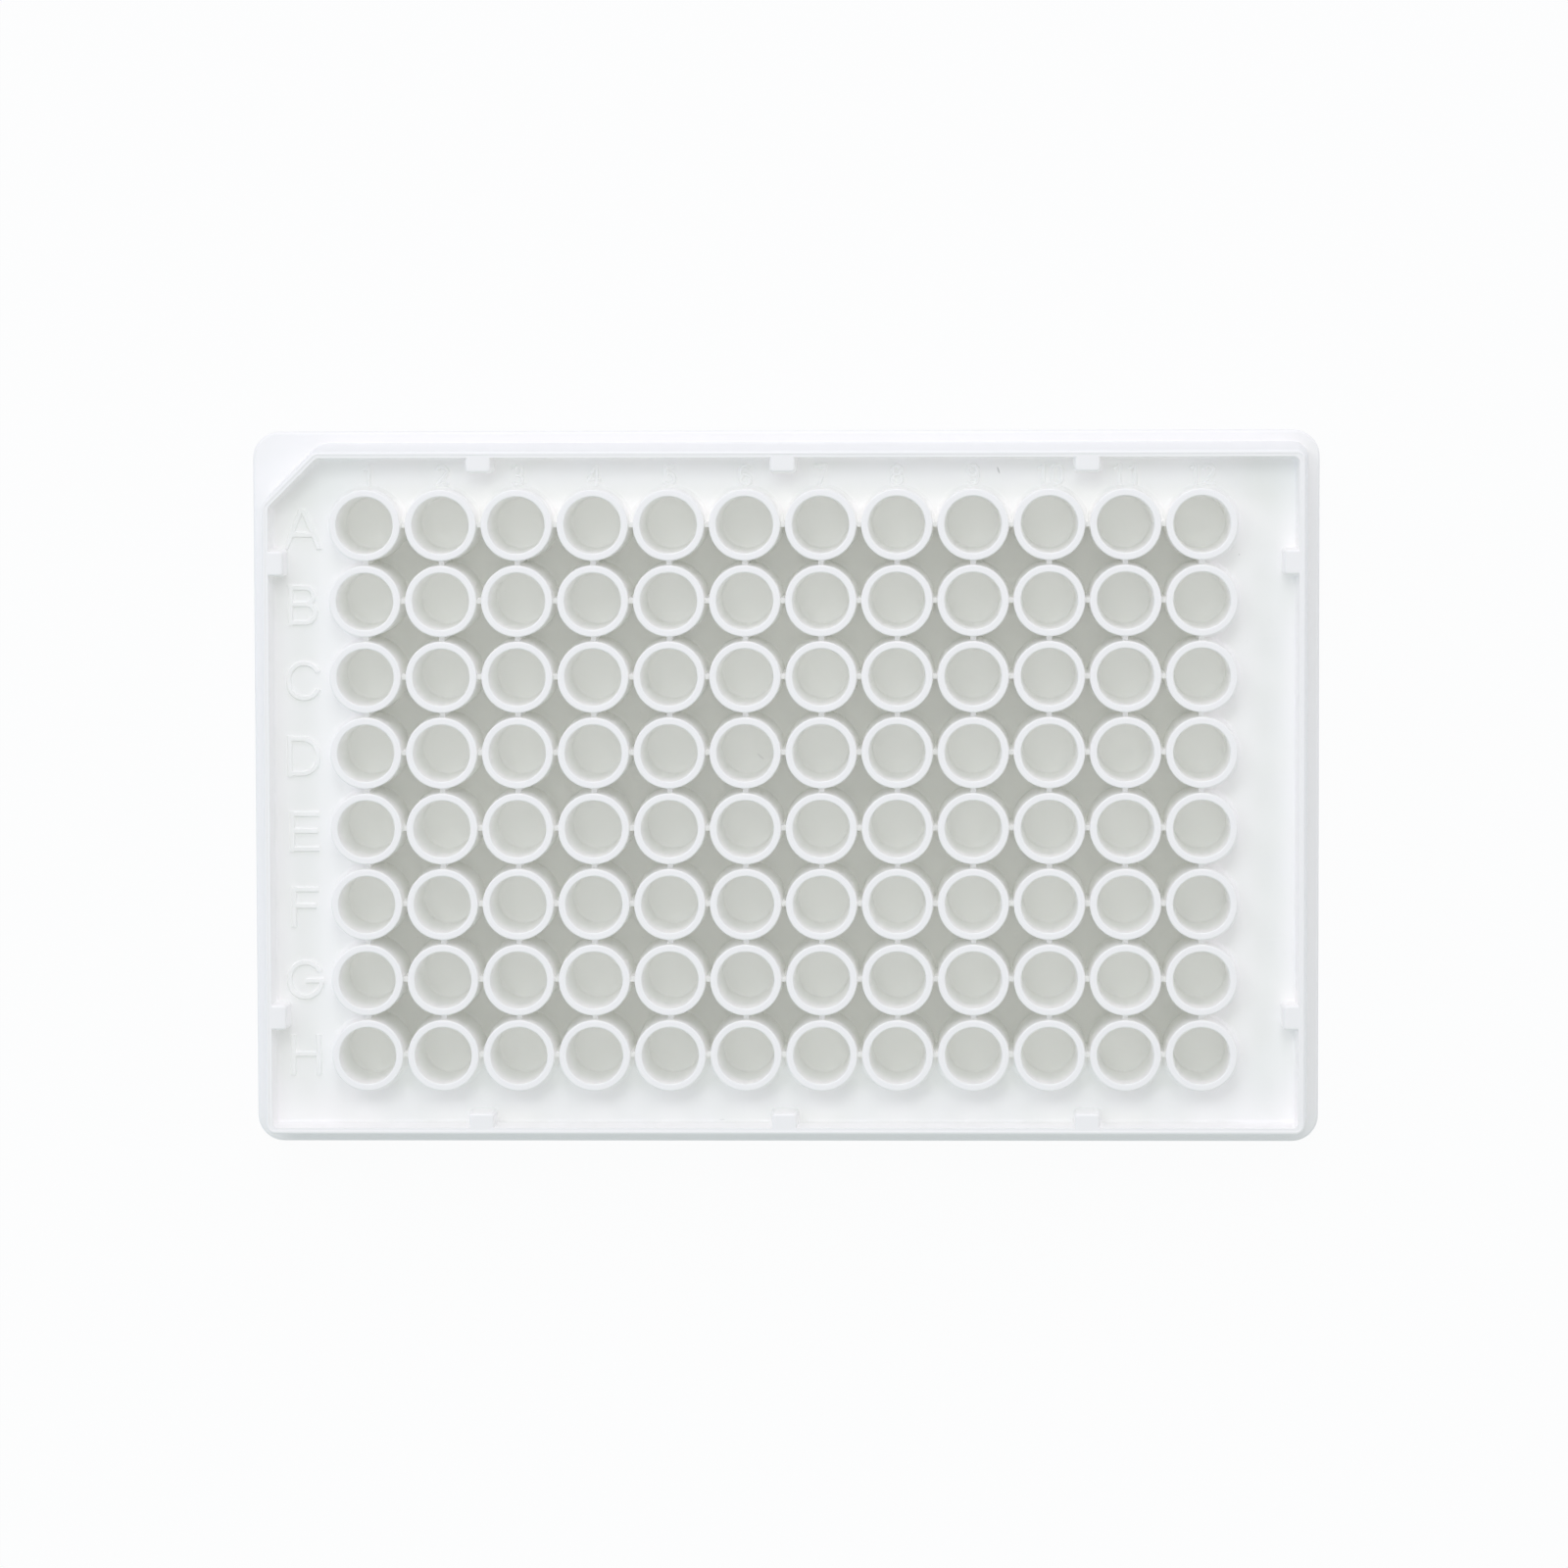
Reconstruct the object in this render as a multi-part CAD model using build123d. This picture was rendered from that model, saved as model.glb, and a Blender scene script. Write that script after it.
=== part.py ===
from build123d import *
from math import atan, atan2, cos, degrees, radians, sin, sqrt, tan
import os

# A 96-well microplate, injection-moulded in one piece of white polystyrene.
# Millimetres. Origin at the centre of the footprint, on the surface the plate stands on.
# +X runs from column 1 to column 12, +Y from row H to row A, +Z up.

# ---- Well grid (the standard 9 mm microplate grid) ----
columns = 12
rows = 8
pitch = 9.0
end_margin = 14.38            # centre of column 1 or 12 to the end of the flange
side_margin = 11.24           # mean of the centre of row A and of row H to the side of the flange
grid_shift = 0.35             # the grid sits this far towards row A in the shell

# ---- Wells: straight-sided cups that stand free like chimneys ----
well_mouth_diameter = 6.75
well_floor_diameter = 6.35
well_depth = 11.0
well_floor_round = 0.3        # round between a well's wall and its floor
chimney_wall = 0.85           # wall of a well at its rim
chimney_draft = 1.0           # degrees, the outside of a well widens downwards
rim_round = 0.17              # both edges of a well's rim
flare_radius = 0.7            # round between an outer well and the deck

# ---- Webs and floor between the wells ----
web_thickness = 0.62
web_drop = 1.55               # top of the webs, below the well rims
web_draft = 0.75              # degrees
pocket_depth = 10.8           # floor of the pockets between the wells, below the rims
floor_thickness = 1.3         # under the wells

# ---- Outer shell ----
plate_height = 14.35          # to the well rims
wall_drop = 0.15              # top of the outer wall, below the well rims
flange_height = 2.41
flange_corner_radius = 3.18
flange_wall = 1.2
flange_round = 0.3
stacking_step = 1.3           # depth of the recess that sits on the plate below
wall_base_inset = 1.35        # foot of the outer wall, in from the flange
wall_top_inset = 2.2
wall_rim = 0.7                # width of the outer wall's top
wall_rim_round = 0.25
rim_land = 0.35               # outer part of the outer wall's top, above a fine step
rim_step = 0.06               # the step's height, and its width as it slopes
wall_inner_draft = 3.4        # degrees
skirt_wall = 1.15
body_corner_radius = 2.0      # at the foot of the outer wall
hollow_corner_radius = 1.2
recess_corner_radius = 0.5
notch_leg = 7.5               # A1 corner cut, measured on the footprint's corner
notch_body_radius = 2.7       # where the cut meets the sides, at the foot of the outer wall
notch_hollow_radius = 1.8
notch_recess_radius = 0.6

# ---- Deck around the wells ----
deck_drop = 4.0               # below the top of the outer wall
deck_thickness = 1.2
deck_round = 0.4              # round between the deck and the outer wall

# ---- Lid tabs on the inside of the outer wall ----
tab_width = 2.9
tab_reach = 1.75              # in from the wall's inner top edge
tab_corner_radius = 0.6       # at the deck
tab_edge_round = 0.3
long_side_tabs = (-4, 0, 4)   # places in pitches from the middle
short_side_tabs = (-3, 3)

# ---- Raised grid references on the deck ----
mark_height = 0.3             # above the deck
mark_draft = 30.0             # degrees, the sides of the strokes slope in upwards
letter_cap = 4.9
letter_stroke = 0.74          # widths are at the deck
letter_drops = (0.58, 0.58, 0.58, 0.58, 0.58, 0.58, 0.3, 0.3)    # below the row's centre line, A to H
number_cap = 2.7
number_stroke = 0.54
number_gap = 0.2              # between a well's rim and the foot of the numbers
number_pitch = 1.85           # from one digit to the next

# ---- Mould insert lines on the deck at the column 12 end ----
seam_width = 0.12
seam_height = 0.05
seam_length = 4.9
seam_spacing = 4              # pitches between the two lines

# ---- Sizes that follow ----
plate_length = (columns - 1) * pitch + 2 * end_margin
plate_width = (rows - 1) * pitch + 2 * side_margin
grid_x = (columns - 1) * pitch / 2
grid_y = (rows - 1) * pitch / 2
row_a = grid_y + grid_shift
wall_top = plate_height - wall_drop
tab_top = wall_top - rim_step
deck_top = wall_top - deck_drop
deck_underside = deck_top - deck_thickness
web_top = plate_height - web_drop
well_floor = plate_height - well_depth
pocket_floor = plate_height - pocket_depth
underside = well_floor - floor_thickness
mouth_radius = well_mouth_diameter / 2
rim_radius = mouth_radius + chimney_wall
wall_slope = (wall_top_inset - wall_base_inset) / (wall_top - flange_height)
recess_inset = wall_top_inset + wall_rim + deck_drop * tan(radians(wall_inner_draft))
strip_x = (grid_x + rim_radius + plate_length / 2 - recess_inset) / 2


def chimney_radius(z):
    """Outside radius of a well at a height."""
    return rim_radius + (plate_height - z) * tan(radians(chimney_draft))


def wall_inset(z):
    """How far the outer wall's outside stands in from the footprint at a height."""
    return wall_base_inset + (z - flange_height) * wall_slope


def body_outline(inset, radius, notch_radius, z):
    """Plan of the upper body at a height, with the A1 corner cut off."""
    x = plate_length / 2 - inset
    y = plate_width / 2 - inset
    leg = notch_leg - inset * (2 - sqrt(2))
    outline = Polygon((-x, -y), (x, -y), (x, y), (leg - x, y), (-x, y - leg), align=None)
    outline = fillet(outline.vertices().sort_by_distance((-x, y))[2:], radius)
    outline = fillet(outline.vertices().sort_by_distance((-x, y))[:2], notch_radius)
    return Pos(0, 0, z) * outline


def make_shell():
    """Flange, outer wall and deck, hollow from below."""
    flange = extrude(RectangleRounded(plate_length, plate_width, flange_corner_radius), flange_height)
    flange = fillet(flange.edges().group_by(Axis.Z)[-1], flange_round)
    body = extrude(
        body_outline(wall_inset(stacking_step), body_corner_radius, notch_body_radius, stacking_step),
        wall_top - stacking_step,
        taper=degrees(atan(wall_slope)),
    )
    body = fillet(body.edges().group_by(Axis.Z)[-1], wall_rim_round)
    recess = extrude(
        body_outline(recess_inset, recess_corner_radius, notch_recess_radius, deck_top),
        2 * deck_drop,
        taper=-wall_inner_draft,
    )
    recess = fillet(recess.edges().group_by(Axis.Z)[0], deck_round)
    rim_recess = extrude(
        body_outline(
            wall_top_inset + rim_land + rim_step, recess_corner_radius, notch_recess_radius, tab_top
        ),
        2 * rim_step,
        taper=-45,
    )
    hollow_inset = wall_inset(stacking_step) + skirt_wall
    hollow = extrude(
        body_outline(hollow_inset, hollow_corner_radius, notch_hollow_radius, stacking_step),
        deck_underside - stacking_step,
        taper=degrees(atan(wall_slope)),
    )
    stacking_recess = extrude(
        RectangleRounded(
            plate_length - 2 * flange_wall, plate_width - 2 * flange_wall, flange_corner_radius - flange_wall
        ),
        stacking_step,
    )
    return flange + body - recess - rim_recess - hollow - stacking_recess


def grid(count_x=columns, count_y=rows):
    """Places on the grid: every well, or one to a row or to a column."""
    return [Pos(0, grid_shift) * place for place in GridLocations(pitch, pitch, count_x, count_y)]


def is_border(place):
    """True for a well in the first or last row or column."""
    across = abs(place.position.Y - grid_shift)
    return abs(place.position.X) > grid_x - pitch / 2 or across > grid_y - pitch / 2


def make_flare():
    """Concave foot where an outer well meets the deck. It runs a little way into both."""
    lead = 15                 # degrees between the arc's ends and the two faces
    bite = 0.02
    reach = flare_radius * cos(radians(lead)) - bite
    middle_z = deck_top + reach
    top_z = middle_z - flare_radius * sin(radians(lead))
    bottom_z = deck_top - deck_thickness / 2
    inner_x = mouth_radius + chimney_wall / 2
    with BuildSketch(Plane.XZ) as profile:
        with BuildLine():
            arc = CenterArc((chimney_radius(top_z) + reach, middle_z), flare_radius, 180 + lead, 90 - 2 * lead)
            Polyline(arc @ 1, ((arc @ 1).X, bottom_z), (inner_x, bottom_z), (inner_x, top_z), arc @ 0)
        make_face()
    return revolve(profile.sketch, Axis.Z)


def make_chimney():
    """Outside of one well, from the rim to the underside."""
    with BuildSketch(Plane.XZ) as profile:
        with BuildLine():
            arc = CenterArc((rim_radius - rim_round, plate_height - rim_round), rim_round, 0, 90)
            Polyline(
                arc @ 1, (0, plate_height), (0, underside), (chimney_radius(underside), underside), arc @ 0
            )
        make_face()
    return revolve(profile.sketch, Axis.Z)


def make_cavity():
    """Inside of one well: drafted wall, rounded floor corner and rounded mouth."""
    floor_radius = well_floor_diameter / 2
    with BuildSketch(Plane.XZ) as profile:
        with BuildLine():
            corner = CenterArc(
                (floor_radius - well_floor_round, well_floor + well_floor_round), well_floor_round, 270, 90
            )
            mouth = CenterArc((mouth_radius + rim_round, plate_height - rim_round), rim_round, 180, -90)
            above = plate_height + 1
            Polyline(corner @ 0, (0, well_floor), (0, above), ((mouth @ 1).X, above), mouth @ 1)
            Line(corner @ 1, mouth @ 0)
        make_face()
    return revolve(profile.sketch, Axis.Z)


def make_web(length, across):
    """A drafted web along one row or column, from the underside to the web top."""
    size = (length, web_thickness) if across else (web_thickness, length)
    return extrude(Pos(0, 0, web_top) * Rectangle(*size), underside - web_top, taper=-web_draft)


def make_tab():
    """One lid tab at the origin, reaching in along -Y from the wall's inner top edge at Y = 0."""
    root = wall_rim / 2
    spread = deck_drop * tan(radians(wall_inner_draft))
    plan = Pos(0, (root - tab_reach) / 2) * Rectangle(tab_width + 2 * spread, root + tab_reach + 2 * spread)
    plan = fillet(plan.vertices().group_by(Axis.Y)[0], tab_corner_radius)
    tab = extrude(Pos(0, 0, deck_top) * plan, tab_top - deck_top, taper=wall_inner_draft)
    top_edges = tab.edges().group_by(Axis.Z)[-1].sort_by(Axis.Y)[:-1]
    return fillet(top_edges, tab_edge_round)


def tab_places():
    """Where the ten tabs stand, and the way each one faces."""
    x = plate_length / 2 - wall_top_inset - wall_rim
    y = plate_width / 2 - wall_top_inset - wall_rim
    long_side = [Pos(step * pitch, side * y) * Rot(0, 0, 90 - 90 * side)
                 for step in long_side_tabs for side in (1, -1)]
    short_side = [Pos(side * x, step * pitch + grid_shift) * Rot(0, 0, -90 * side)
                  for step in short_side_tabs for side in (1, -1)]
    return long_side + short_side


# ---- Strokes of the raised marks ----
# The centre lines of each character stand in a frame one unit high. Four numbers are a straight
# stroke, x, y to x, y. Five are a round one: centre x, centre y, radius, start angle and turn.
end = 0.08                    # a straight stroke runs on by half its width at a free end or corner
strokes = {
    "A": [(-0.49, -end, -0.02, 1 + end), (0.49, -end, 0.02, 1 + end), (-0.33, 0.35, 0.33, 0.35)],
    "B": [(0, -end, 0, 1 + end), (0, 1, 0.42, 1), (0.42, 0.765, 0.235, -90, 180), (0, 0.53, 0.43, 0.53),
          (0.43, 0.265, 0.265, -90, 180), (0, 0, 0.43, 0)],
    "C": [(0.435, 0.565, 0.435, 24, 156), (0, 0.565, 0, 0.435), (0.435, 0.435, 0.435, 180, 156)],
    "D": [(0, -end, 0, 1 + end), (0, 1, 0.35, 1), (0.35, 0.55, 0.45, 0, 90), (0.8, 0.55, 0.8, 0.45),
          (0.35, 0.45, 0.45, -90, 90), (0, 0, 0.35, 0)],
    "E": [(0, -end, 0, 1 + end), (0, 1, 0.77, 1), (0, 0.52, 0.73, 0.52), (0, 0, 0.78, 0)],
    "F": [(0, -end, 0, 1 + end), (0, 1, 0.71, 1), (0, 0.53, 0.63, 0.53)],
    "G": [(0.45, 0.55, 0.45, 24, 156), (0, 0.55, 0, 0.45), (0.45, 0.45, 0.45, 180, 180),
          (0.9, 0.45, 0.9, 0.5), (0.47, 0.47, 0.9 + end, 0.47)],
    "H": [(0, -end, 0, 1 + end), (0.73, -end, 0.73, 1 + end), (0, 0.52, 0.73, 0.52)],
    "0": [(0.27, 0.73, 0.27, 0, 180), (0, 0.73, 0, 0.27), (0.27, 0.27, 0.27, 180, 180),
          (0.54, 0.27, 0.54, 0.73)],
    "1": [(0.3, -end, 0.3, 1 + end), (0, 0.78, 0.34, 0.98)],
    "2": [(0.27, 0.73, 0.27, -42, 212), (0.48, 0.56, 0, 0.02), (-end, 0, 0.54 + end, 0)],
    "3": [(0.26, 0.765, 0.235, -90, 250), (0.26, 0.265, 0.265, -160, 250), (0.16, 0.53, 0.3, 0.53)],
    "4": [(0.4, -end, 0.4, 1 + end), (0.36, 1, -0.04, 0.3), (-end, 0.27, 0.54 + end, 0.27)],
    "5": [(0.07, 1, 0.54, 1), (0.1, 1 + end, 0.06, 0.5), (0.25, 0.3, 0.3, -150, 285)],
    "6": [(0.27, 0.27, 0.27, 0, 180), (0.27, 0.27, 0.27, 180, 180), (0, 0.27, 0, 0.73),
          (0.27, 0.73, 0.27, 30, 150)],
    "7": [(-end, 1, 0.54 + end, 1), (0.53, 1, 0.16, -end)],
    "8": [(0.27, 0.76, 0.24, 0, 180), (0.27, 0.76, 0.24, 180, 180), (0.27, 0.27, 0.27, 0, 180),
          (0.27, 0.27, 0.27, 180, 180)],
    "9": [(0.27, 0.73, 0.27, 0, 180), (0.27, 0.73, 0.27, 180, 180), (0.54, 0.73, 0.54, 0.27),
          (0.27, 0.27, 0.27, -150, 150)],
}


def stroke_section(width):
    """Cross-section of a stroke on the deck: upright where it is sunk in, sloping in above."""
    foot = width / 2
    crown = foot - mark_height * tan(radians(mark_draft))
    sunk = deck_thickness / 4
    return Polygon(
        (-foot, -sunk), (foot, -sunk), (foot, 0), (crown, mark_height), (-crown, mark_height), (-foot, 0),
        align=None,
    )


def straight_stroke(start_x, start_y, end_x, end_y, width):
    """A bar with square ends."""
    run = Vector(end_x - start_x, end_y - start_y)
    start = Plane((start_x, start_y, 0), x_dir=(-run.Y, run.X, 0), z_dir=run)
    return extrude(start * stroke_section(width), run.length)


def round_stroke(x, y, radius, start, turn, width):
    """Part of a ring."""
    section = Plane.XZ * (Pos(radius, 0) * stroke_section(width))
    return Pos(x, y) * Rot(0, 0, start) * revolve(section, Axis.Z, turn)


def make_character(character, cap, width):
    """One character, its foot on Y = 0, its middle on X = 0 and the deck at Z = 0."""
    unit = cap - width
    frame = straight_stroke(-cap, unit / 2, 2 * cap, unit / 2, cap)
    parts = []
    for sizes in strokes[character]:
        if len(sizes) == 5:
            x, y, radius, start, turn = sizes
            parts.append(round_stroke(x * unit, y * unit, radius * unit, start, turn, width))
        else:
            bar = straight_stroke(*[size * unit for size in sizes], width)
            slants = sizes[0] != sizes[2] and sizes[1] != sizes[3]
            parts.append(bar & frame if slants else bar)
    whole = parts[0] + parts[1:]
    return Pos(-whole.bounding_box().center().X, width / 2) * whole


def make_marks():
    """The row letters and the column numbers, raised from the deck."""
    marks = []
    for row in range(rows):
        y = row_a - row * pitch - letter_drops[row] - letter_cap / 2
        letter = make_character("ABCDEFGH"[row], letter_cap, letter_stroke)
        marks.append(Pos(-strip_x, y, deck_top) * letter)
    foot = row_a + rim_radius + number_gap
    for column in range(columns):
        digits = str(column + 1)
        for place, digit in enumerate(digits):
            x = column * pitch - grid_x + (place - (len(digits) - 1) / 2) * number_pitch
            marks.append(Pos(x, foot, deck_top) * make_character(digit, number_cap, number_stroke))
    return marks


def make_seams():
    """Two fine raised lines across the deck at the column 12 end."""
    outer_end = plate_length / 2 - recess_inset + wall_rim / 2
    sunk = deck_thickness / 4
    line = Box(seam_length, seam_width, sunk + seam_height, align=(Align.MAX, Align.CENTER, Align.MIN))
    y = seam_spacing * pitch / 2
    return [Pos(outer_end, grid_shift + side * y, deck_top - sunk) * line for side in (1, -1)]


def grid_block(height):
    """A block up from the underside, out to the centres of the outer wells."""
    block = Box(2 * grid_x, 2 * grid_y, height, align=(Align.CENTER, Align.CENTER, Align.MIN))
    return Pos(0, grid_shift, underside) * block


def make_plate():
    """The whole moulding."""
    flare = make_flare()
    chimney = make_chimney()
    cavity = make_cavity()
    shell = make_shell() + [place * flare for place in grid() if is_border(place)]
    shell -= grid_block(plate_height)
    row_webs = [place * make_web(2 * grid_x, True) for place in grid(count_x=1)]
    column_webs = [place * make_web(2 * grid_y, False) for place in grid(count_y=1)]
    wells = grid_block(pocket_floor - underside) + row_webs + column_webs
    wells += [place * chimney for place in grid()]
    plate = shell + wells
    plate += [place * make_tab() for place in tab_places()]
    plate += make_marks()
    plate += make_seams()
    plate -= [place * cavity for place in grid()]
    return plate


os.makedirs("parts", exist_ok=True)
plate = make_plate()
print("well_plate", len(plate.solids()), "solid, volume", round(plate.volume, 1), "mm3")
export_step(plate, "parts/well_plate.step")
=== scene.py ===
import math

import bpy
from mathutils import Matrix, Vector


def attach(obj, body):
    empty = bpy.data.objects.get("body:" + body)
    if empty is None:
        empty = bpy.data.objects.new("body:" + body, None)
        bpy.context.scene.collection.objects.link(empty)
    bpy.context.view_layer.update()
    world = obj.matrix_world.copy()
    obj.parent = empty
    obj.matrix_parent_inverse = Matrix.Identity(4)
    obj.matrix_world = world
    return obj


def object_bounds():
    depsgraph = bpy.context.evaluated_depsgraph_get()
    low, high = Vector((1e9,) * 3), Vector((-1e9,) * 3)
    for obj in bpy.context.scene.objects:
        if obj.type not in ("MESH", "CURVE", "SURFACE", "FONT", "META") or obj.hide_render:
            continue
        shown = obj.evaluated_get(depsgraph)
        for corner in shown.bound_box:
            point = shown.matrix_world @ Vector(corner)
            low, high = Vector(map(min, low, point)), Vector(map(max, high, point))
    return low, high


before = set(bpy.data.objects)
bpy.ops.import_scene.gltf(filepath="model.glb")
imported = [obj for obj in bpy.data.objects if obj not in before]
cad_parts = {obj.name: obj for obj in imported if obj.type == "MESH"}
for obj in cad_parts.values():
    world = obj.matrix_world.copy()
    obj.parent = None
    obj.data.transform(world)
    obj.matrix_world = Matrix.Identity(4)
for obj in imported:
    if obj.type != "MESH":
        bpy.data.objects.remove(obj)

cad_low, cad_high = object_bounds()
scene = bpy.context.scene
MM = 0.001

# ---- Sizes the looks depend on, in metres, heights from the table ----
plate_height = cad_high.z
pitch = 9.0 * MM
columns = 12
rows = 8
grid_shift = 0.35 * MM
pocket_floor = plate_height - 10.8 * MM
deck_top = plate_height - 4.15 * MM
label_size = 1.42 * MM
label_thickness = 0.16 * MM              # the lower half is sunk in the pocket floor
label_offset = (1.3 * MM, -0.1 * MM)     # of a label's middle from the middle of its pocket


def link(name, data):
    """A new object of that data, in the scene."""
    made = bpy.data.objects.new(name, data)
    scene.collection.objects.link(made)
    return made


# ---- Camera, at the photograph's angle ----
def make_camera():
    """Looks almost straight down, from a little towards column 12 and row A."""
    data = bpy.data.cameras.new("camera")
    data.sensor_width = 36.0
    data.lens = 156.95
    data.clip_start = 0.01
    data.clip_end = 20.0
    camera = link("camera", data)
    turn = (
        Matrix.Rotation(math.radians(-3.8992), 4, "X")
        @ Matrix.Rotation(math.radians(1.6608), 4, "Y")
        @ Matrix.Rotation(math.radians(-0.0475), 4, "Z")
    )
    camera.matrix_world = Matrix.Translation((0.02355, 0.05618, 0.8212)) @ turn
    scene.camera = camera


# ---- Light: an even white studio and nine softboxes, brightest behind the plate ----
world_colour = (0.93, 1.0, 0.945)
world_strength = 0.525
lamp_distance = 1.5           # metres
lamp_size = 0.5
bounces = 32                  # white wells and pockets pass light to and fro many times
# Each softbox: its azimuth and elevation in degrees, its watts and its colour.
lamps = {
    "back": ((90, 30), 2.6, (0.89, 0.78, 1.0)),
    "back_high": ((90, 60), 2.4, (0.96, 0.97, 0.98)),
    "back_left": ((135, 30), 1.9, (1.0, 0.8, 0.9)),
    "back_left_high": ((135, 60), 1.8, (0.9, 0.93, 1.0)),
    "back_right": ((45, 30), 1.8, (0.95, 0.82, 1.0)),
    "left": ((180, 30), 1.15, (0.56, 0.46, 1.0)),
    "front_left": ((225, 30), 1.15, (0.51, 0.73, 1.0)),
    "right": ((0, 30), 1.2, (0.8, 0.61, 1.0)),
    "front": ((270, 60), 0.3, (0.78, 0.7, 1.0)),
}


def make_lamp(name, place, size, watts, colour):
    """A square softbox at that place, facing the plate."""
    data = bpy.data.lights.new(name, "AREA")
    data.shape = "SQUARE"
    data.size = size
    data.energy = watts
    data.color = colour
    lamp = link(name, data)
    lamp.location = place
    lamp.rotation_euler = (-Vector(place)).to_track_quat("-Z", "Y").to_euler()


def toward(azimuth, elevation, distance):
    """A place that far from the plate; azimuth 0 is +X and 90 is +Y."""
    turn, lift = math.radians(azimuth), math.radians(elevation)
    return (
        distance * math.cos(lift) * math.cos(turn),
        distance * math.cos(lift) * math.sin(turn),
        distance * math.sin(lift),
    )


def seen_as_white(nodes, links, lit, white, share):
    """Swaps lit for white where the camera, a reflection or glass sees it, by that share."""
    path = nodes.new("ShaderNodeLightPath")
    camera_or_glossy = nodes.new("ShaderNodeMath")
    camera_or_glossy.operation = "MAXIMUM"
    links.new(path.outputs["Is Camera Ray"], camera_or_glossy.inputs[0])
    links.new(path.outputs["Is Glossy Ray"], camera_or_glossy.inputs[1])
    any_of_three = nodes.new("ShaderNodeMath")
    any_of_three.operation = "MAXIMUM"
    links.new(camera_or_glossy.outputs["Value"], any_of_three.inputs[0])
    links.new(path.outputs["Is Transmission Ray"], any_of_three.inputs[1])
    amount = nodes.new("ShaderNodeMath")
    amount.operation = "MULTIPLY"
    amount.inputs[1].default_value = share
    links.new(any_of_three.outputs["Value"], amount.inputs[0])
    blend = nodes.new("ShaderNodeMixShader")
    links.new(amount.outputs["Value"], blend.inputs["Fac"])
    links.new(lit, blend.inputs[1])
    links.new(white, blend.inputs[2])
    return blend.outputs["Shader"]


def make_world(colour, strength):
    """The even light of a white studio, seen as plain white."""
    world = bpy.data.worlds.new("studio")
    world.use_nodes = True
    nodes, links = world.node_tree.nodes, world.node_tree.links
    lit = nodes["Background"]
    lit.inputs["Color"].default_value = (*colour, 1.0)
    lit.inputs["Strength"].default_value = strength
    white = nodes.new("ShaderNodeBackground")
    white.inputs["Color"].default_value = (1.0, 1.0, 1.0, 1.0)
    white.inputs["Strength"].default_value = 1.0
    surface = seen_as_white(nodes, links, lit.outputs["Background"], white.outputs["Background"], 1.0)
    links.new(surface, nodes["World Output"].inputs["Surface"])
    scene.world = world


# ---- Floor ----
floor_half = 4.0              # metres from its middle to an edge
floor_colour = (0.7, 0.76, 0.8)
floor_white_share = 0.95      # how much of it is seen as plain white, the rest as lit paper


def make_floor(half, colour, share):
    """A wide white sheet under the plate. It looks white and keeps the plate's shadow."""
    corners = [(-half, -half, 0.0), (half, -half, 0.0), (half, half, 0.0), (-half, half, 0.0)]
    mesh = bpy.data.meshes.new("floor")
    mesh.from_pydata(corners, [], [(0, 1, 2, 3)])
    floor = link("floor", mesh)
    material = bpy.data.materials.new("floor")
    material.use_nodes = True
    nodes, links = material.node_tree.nodes, material.node_tree.links
    paper = nodes["Principled BSDF"]
    paper.inputs["Base Color"].default_value = (*colour, 1.0)
    paper.inputs["Roughness"].default_value = 0.9
    paper.inputs["Specular IOR Level"].default_value = 0.2
    white = nodes.new("ShaderNodeEmission")
    surface = seen_as_white(nodes, links, paper.outputs["BSDF"], white.outputs["Emission"], share)
    links.new(surface, nodes["Material Output"].inputs["Surface"])
    mesh.materials.append(material)


# ---- Plastic ----
plastic_tone = (0.992, 0.992, 0.98)
plastic_ior = 1.59
cloud_size, cloud_shade = 14 * MM, 0.993          # flow clouding, and its darkest shade
roughness_below, roughness_above = 0.36, 0.4      # below the deck, and from the deck up
patch_size, patch_spread = 5 * MM, 0.02           # patches of gloss, and how far they sway it
ripple_size, ripple_depth = 0.7 * MM, 0.004 * MM  # ripple from the mould's polish
ripple_strength = 0.15
# Each small mark of use, in mm: its middle, its half sizes along, across and upwards, its turn in
# degrees, and how much it darkens the plastic.
marks = [
    ((25.5, 38.15, 10.2), (0.55, 0.14, 0.6), -70, 0.30),     # scratch on the deck beside 9
    ((-7.5, -39.25, 10.2), (0.40, 0.12, 0.6), 5, 0.10),      # scuff by the wall, below column 6
    ((54.0, 28.1, 10.3), (0.16, 0.14, 0.6), 0, 0.16),        # speck at the foot of A12
    ((-45.5, 31.9, 12.8), (0.12, 0.10, 0.6), 0, 0.16),       # speck on the web beside A1
    ((-3.0, 3.75, 3.35), (0.70, 0.16, 0.5), -40, 0.14),      # scratch on the floor of D6
    ((54.9, 17.9, 10.2), (0.40, 0.06, 0.5), 50, 0.06),       # nick at the end of the upper insert line
]


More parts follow.
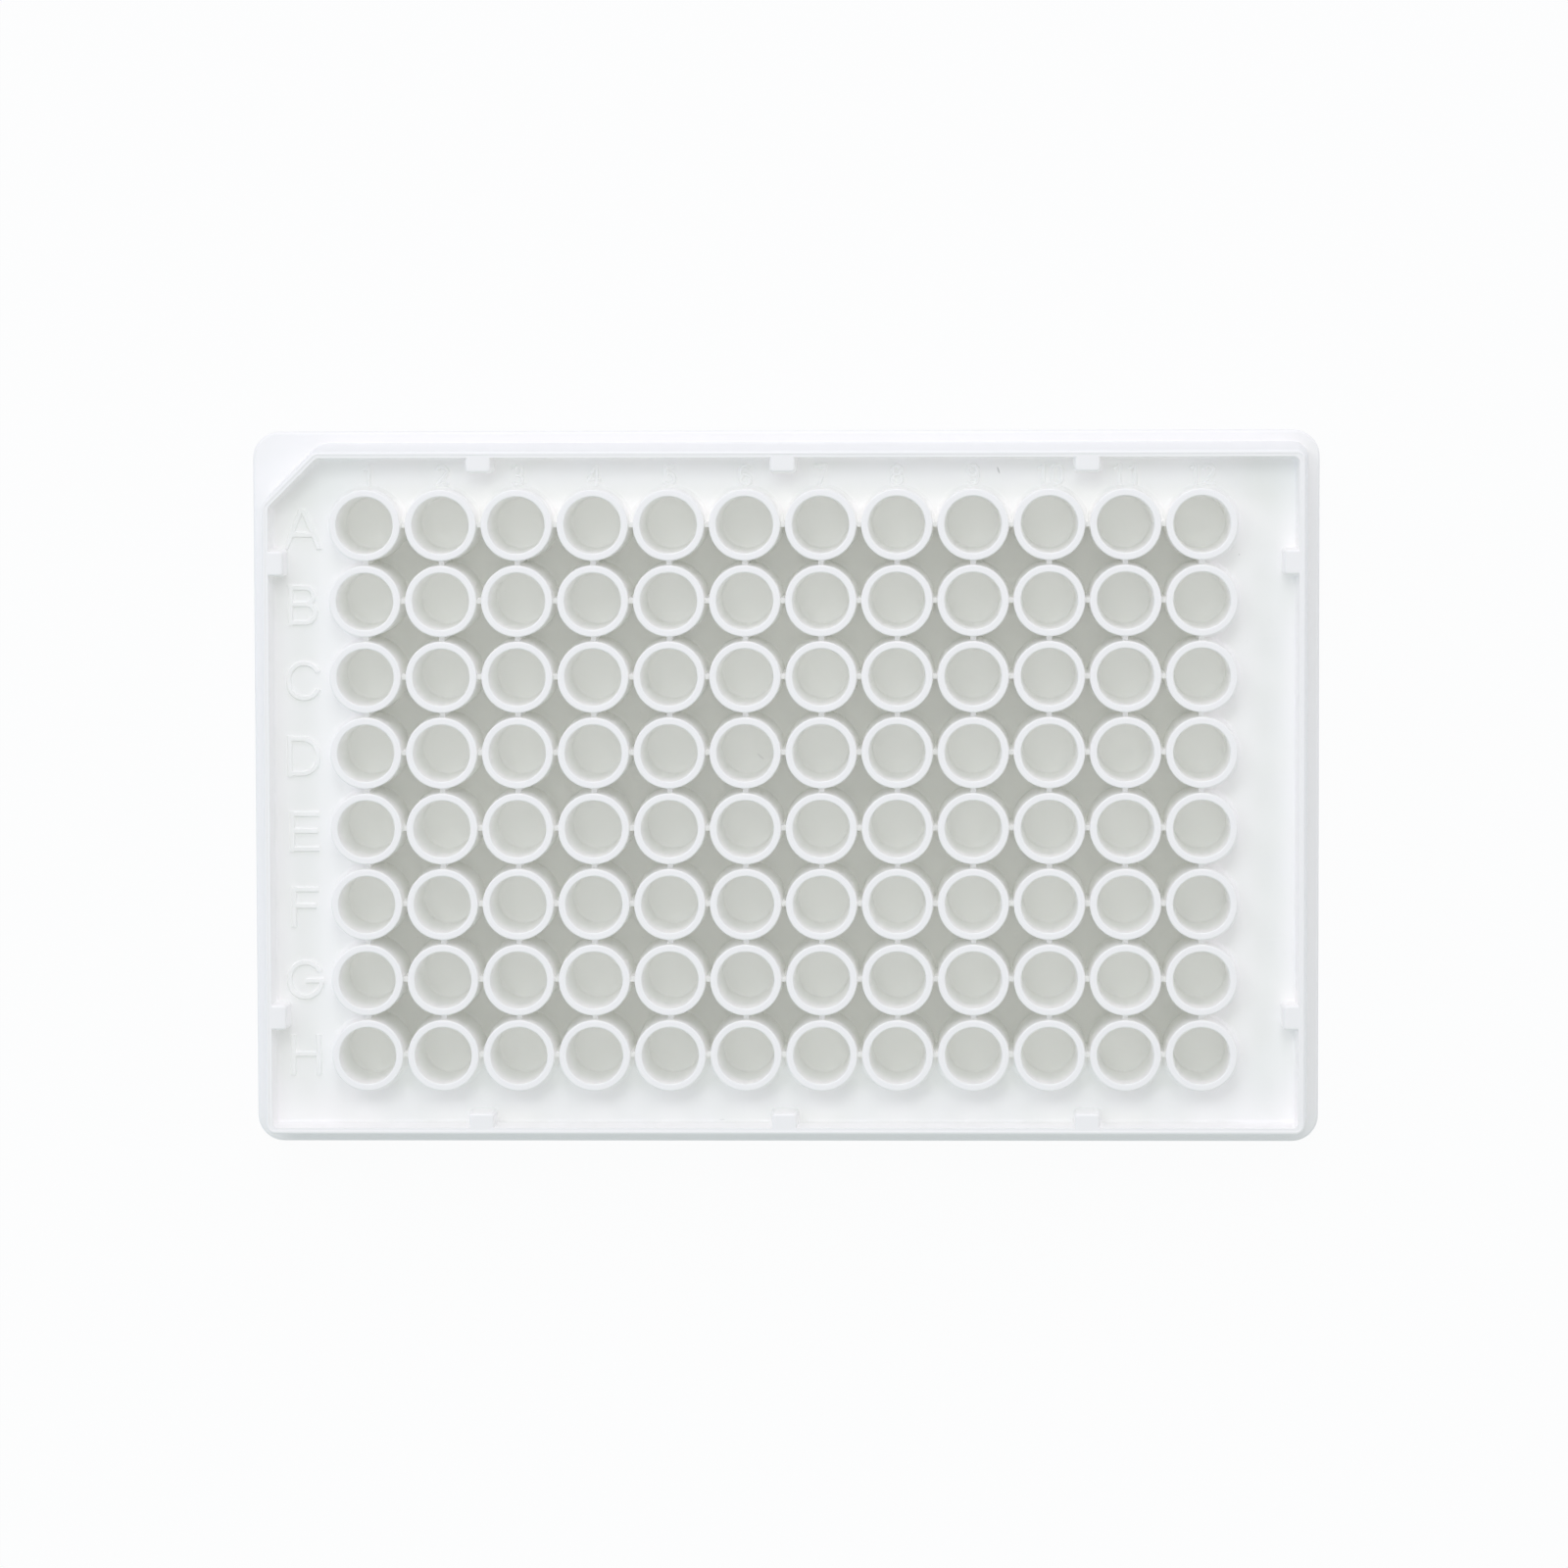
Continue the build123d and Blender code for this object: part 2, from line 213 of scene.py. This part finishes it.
class Graph:
    """Short names for making and joining the nodes of one material."""

    def __init__(self, material):
        material.use_nodes = True
        self.nodes, self.links = material.node_tree.nodes, material.node_tree.links

    def node(self, kind, **settings):
        made = self.nodes.new("ShaderNode" + kind)
        for name, value in settings.items():
            setattr(made, name, value)
        return made

    def feed(self, socket, value):
        if isinstance(value, bpy.types.NodeSocket):
            self.links.new(value, socket)
        else:
            socket.default_value = value

    def math(self, operation, first, second):
        made = self.node("Math", operation=operation)
        self.feed(made.inputs[0], first)
        self.feed(made.inputs[1], second)
        return made.outputs["Value"]

    def ramp(self, value, low, high, out_low, out_high):
        """A smooth step from out_low at low to out_high at high."""
        made = self.node("MapRange", interpolation_type="SMOOTHSTEP")
        for name, fed in (("Value", value), ("From Min", low), ("From Max", high),
                          ("To Min", out_low), ("To Max", out_high)):
            self.feed(made.inputs[name], fed)
        return made.outputs["Result"]

    def noise(self, place, size, detail):
        made = self.node("TexNoise", noise_dimensions="3D")
        self.feed(made.inputs["Vector"], place)
        made.inputs["Scale"].default_value = 1 / size
        made.inputs["Detail"].default_value = detail
        return made.outputs["Fac"]

    def mark(self, place, middle, half_sizes, turn):
        """1 in the middle of a small ellipsoid and 0 outside it."""
        mapping = self.node("Mapping", vector_type="TEXTURE")
        self.feed(mapping.inputs["Vector"], place)
        mapping.inputs["Location"].default_value = [value * MM for value in middle]
        mapping.inputs["Rotation"].default_value = (0.0, 0.0, math.radians(turn))
        mapping.inputs["Scale"].default_value = [value * MM for value in half_sizes]
        length = self.node("VectorMath", operation="LENGTH")
        self.feed(length.inputs[0], mapping.outputs["Vector"])
        return self.ramp(length.outputs["Value"], 0.45, 1.0, 1.0, 0.0)


def make_plastic():
    """White moulded polystyrene: satin on the deck and the shell, a little glossier below."""
    material = bpy.data.materials.new("white_polystyrene_moulded")
    graph = Graph(material)
    shader = graph.nodes["Principled BSDF"]
    place = graph.node("TexCoord").outputs["Object"]
    split = graph.node("SeparateXYZ")
    graph.feed(split.inputs["Vector"], place)
    height = split.outputs["Z"]

    # Colour: faint flow clouding and the marks of use. What light bounces about in turns warmer.
    cloud = graph.ramp(graph.noise(place, cloud_size, 2.0), 0.3, 0.7, cloud_shade, 1.0)
    wear = 0.0
    for middle, half_sizes, turn, strength in marks:
        spot = graph.math("MULTIPLY", graph.mark(place, middle, half_sizes, turn), strength)
        wear = graph.math("MAXIMUM", spot, wear)
    shade = graph.math("SUBTRACT", cloud, wear)
    tone = graph.node("CombineXYZ")
    for axis, value in zip("XYZ", plastic_tone):
        graph.feed(tone.inputs[axis], graph.math("MULTIPLY", shade, value))
    graph.feed(shader.inputs["Base Color"], tone.outputs["Vector"])

    # Gloss: satin all over, a little patchy, and a touch smoother below the deck.
    low, high = deck_top - 0.6 * MM, deck_top - 0.1 * MM
    satin = graph.ramp(height, low, high, roughness_below, roughness_above)
    patchy = graph.ramp(graph.noise(place, patch_size, 3.0), 0.3, 0.7, -patch_spread, patch_spread)
    graph.feed(shader.inputs["Roughness"], graph.math("ADD", satin, patchy))
    shader.inputs["IOR"].default_value = plastic_ior

    # Relief: a slight ripple from the mould's polish on the faces that look up.
    facing = graph.node("SeparateXYZ")
    graph.feed(facing.inputs["Vector"], graph.node("NewGeometry").outputs["Normal"])
    ripple = graph.node("Bump")
    graph.feed(ripple.inputs["Strength"], graph.ramp(facing.outputs["Z"], 0.8, 0.98, 0.0, ripple_strength))
    ripple.inputs["Distance"].default_value = ripple_depth
    graph.feed(ripple.inputs["Height"], graph.noise(place, ripple_size, 2.0))
    graph.feed(shader.inputs["Normal"], ripple.outputs["Normal"])
    return material


# ---- Labels on the pocket floors ----
def text_mesh(text, size, thickness):
    """The mesh of a line of text lying flat, its middle and the middle of its thickness at the origin."""
    curve = bpy.data.curves.new("label", "FONT")
    curve.body = text
    curve.size = size
    curve.align_x = "CENTER"
    curve.align_y = "CENTER"
    curve.extrude = thickness / 2
    curve.resolution_u = 3
    curve.space_character = 1.15
    holder = link("label", curve)
    mesh = bpy.data.meshes.new_from_object(holder.evaluated_get(bpy.context.evaluated_depsgraph_get()))
    bpy.data.objects.remove(holder)
    bpy.data.curves.remove(curve)
    return mesh


def make_labels(material):
    """A small raised name in each pocket: the row below it and the column to its right."""
    points, faces = [], []
    for row in range(1, rows):
        for column in range(1, columns):
            mesh = text_mesh("ABCDEFGH"[row] + str(column + 1), label_size, label_thickness)
            x = (column - columns / 2) * pitch + label_offset[0]
            y = (rows / 2 - row) * pitch + grid_shift + label_offset[1]
            first = len(points)
            points += [(x + point.co.x, y + point.co.y, pocket_floor + point.co.z) for point in mesh.vertices]
            faces += [[first + index for index in face.vertices] for face in mesh.polygons]
            bpy.data.meshes.remove(mesh)
    data = bpy.data.meshes.new("pocket_labels")
    data.from_pydata(points, [], faces)
    labels = link("pocket_labels", data)
    data.materials.append(material)
    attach(labels, "root")


make_camera()
make_world(world_colour, world_strength)
for name, ((azimuth, elevation), watts, colour) in lamps.items():
    make_lamp(name, toward(azimuth, elevation, lamp_distance), lamp_size, watts, colour)
make_floor(floor_half, floor_colour, floor_white_share)
scene.cycles.max_bounces = bounces
scene.cycles.diffuse_bounces = bounces
plastic = make_plastic()
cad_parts["well_plate"].material_slots[0].material = plastic
make_labels(plastic)

scene.view_settings.view_transform = "Standard"
